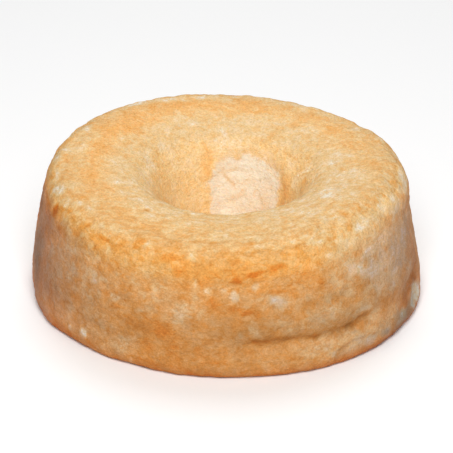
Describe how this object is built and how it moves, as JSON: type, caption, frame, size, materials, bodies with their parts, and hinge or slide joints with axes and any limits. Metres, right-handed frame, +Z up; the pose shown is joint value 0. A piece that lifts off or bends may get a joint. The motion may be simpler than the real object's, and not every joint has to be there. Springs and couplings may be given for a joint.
{
  "type": "angel food cake",
  "caption": "Tall soft ring cake with a golden-brown crust, a slightly sunken top and a funnel-shaped hole through its middle.",
  "frame": {"origin": "on the table, at the middle of the cake's outline", "axes": "+Z up; -Y towards the side with the long fold, +X to the right of it"},
  "size_m": [0.2024, 0.2018, 0.0709],
  "materials": {
    "golden_crust": "matte"
  },
  "bodies": {
    "root": {"cake": "golden_crust"}
  },
  "joints": []
}
